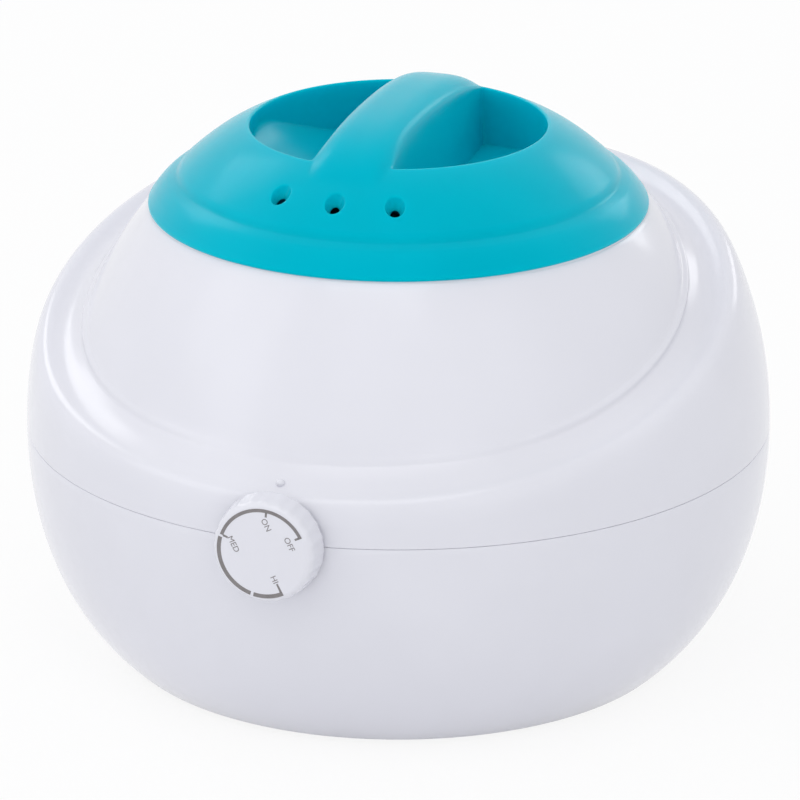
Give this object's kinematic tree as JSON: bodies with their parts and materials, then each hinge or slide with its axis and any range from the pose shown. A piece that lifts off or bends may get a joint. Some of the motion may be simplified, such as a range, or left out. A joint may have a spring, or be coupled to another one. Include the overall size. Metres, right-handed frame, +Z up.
{
  "type": "wax warmer",
  "caption": "Round plastic wax warmer with a rotary heat control, a lift-out metal pot in a heated well and a domed lid with finger pockets.",
  "frame": {"origin": "centre of the bounding box seen from above, at the level the feet stand on", "axes": "+Z up, -Y towards the front where the heat control is, +X to the right as seen from the front"},
  "size_m": [0.24, 0.2496, 0.1847],
  "materials": {
    "white_plastic": "glossy moulded",
    "teal_plastic": "glossy moulded",
    "aluminium_sheet": "drawn, satin",
    "plated_steel": "zinc plated",
    "black_plastic": "moulded, satin",
    "glazed_ceramic": "glazed",
    "mica_band": "mica between steel sheets",
    "glass_fibre": "needled felt",
    "grey_rubber": "matt",
    "red_silicone": "matt"
  },
  "bodies": {
    "housing": {"bracket_screw_1": "plated_steel", "bracket_screw_2": "plated_steel", "cable_gland": "black_plastic", "clamp_nut_1": "plated_steel", "clamp_nut_2": "plated_steel", "clamp_screw_1": "plated_steel", "clamp_screw_2": "plated_steel", "foot_1": "grey_rubber", "foot_2": "grey_rubber", "foot_3": "grey_rubber", "foot_4": "grey_rubber", "heat_shield": "aluminium_sheet", "heater_band": "mica_band", "heating_well": "aluminium_sheet", "housing_screw_1": "plated_steel", "housing_screw_2": "plated_steel", "housing_screw_3": "plated_steel", "housing_screw_4": "plated_steel", "insulation_pad": "glass_fibre", "insulation_sleeve": "glass_fibre", "lower_housing": "white_plastic", "seal_ring": "red_silicone", "shield_screw_1": "plated_steel", "shield_screw_2": "plated_steel", "shield_screw_3": "plated_steel", "terminal_block": "glazed_ceramic", "terminal_screw": "plated_steel", "thermal_cutout": "black_plastic", "thermostat_body": "black_plastic", "thermostat_bracket": "plated_steel", "thermostat_nut": "plated_steel", "upper_housing": "white_plastic", "well_screw_1": "plated_steel", "well_screw_2": "plated_steel", "well_screw_3": "plated_steel", "well_screw_4": "plated_steel"},
    "pot": {"wax_pot": "aluminium_sheet"},
    "lid": {"lid": "teal_plastic"},
    "control": {"knob": "white_plastic", "thermostat_shaft": "plated_steel"}
  },
  "joints": [
    {"name": "pot_lift", "type": "slide", "parent": "housing", "child": "pot", "axis": [0, 0, 1], "range_m": [0, 0.11]},
    {"name": "lid_lift", "type": "slide", "parent": "pot", "child": "lid", "axis": [0, 0, 1], "range_m": [0, 0.06]},
    {"name": "heat_control_turn", "type": "hinge", "parent": "housing", "child": "control", "pos_m": [0, -0.1248, 0.077], "axis": [0, -1, 0], "range_deg": [-208, 62]}
  ]
}
